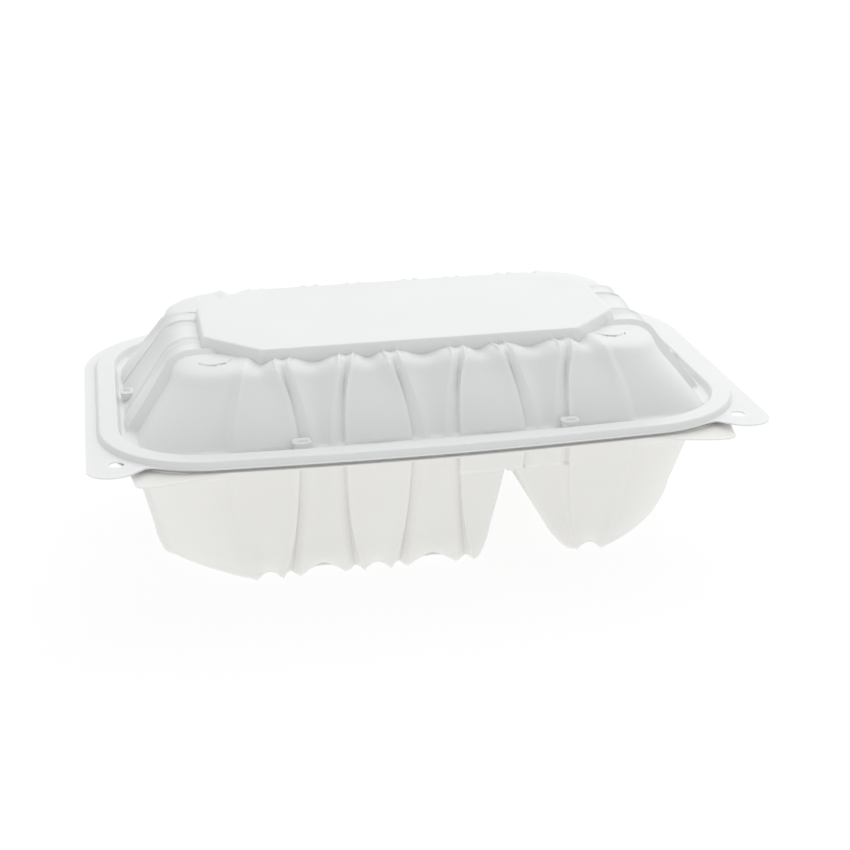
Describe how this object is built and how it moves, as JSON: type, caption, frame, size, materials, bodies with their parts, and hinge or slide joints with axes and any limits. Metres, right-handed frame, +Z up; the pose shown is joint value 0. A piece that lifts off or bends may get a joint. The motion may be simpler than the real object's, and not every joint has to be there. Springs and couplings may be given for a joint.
{
  "type": "hinged food container",
  "caption": "Thin formed-plastic take-away container with two wells, fluted walls and a hinged fluted lid with a flat raised top panel.",
  "frame": {"origin": "bottom centre of the closed container's box, on the surface it stands on", "axes": "+Z up, X along the length, -Y towards the opening edge with the tabs, +Y towards the fold"},
  "size_m": [0.2294, 0.15, 0.078],
  "materials": {
    "base_sheet": "thin formed sheet, satin, slightly warm and translucent white",
    "lid_sheet": "thin formed sheet, satin, white"
  },
  "bodies": {
    "base": {"base_tray": "base_sheet"},
    "lid": {"lid": "lid_sheet"}
  },
  "joints": [
    {"name": "lid_hinge", "type": "hinge", "parent": "base", "child": "lid", "pos_m": [0, 0.07435, 0.0507], "axis": [-1, 0, 0], "range_deg": [0, 180]}
  ]
}
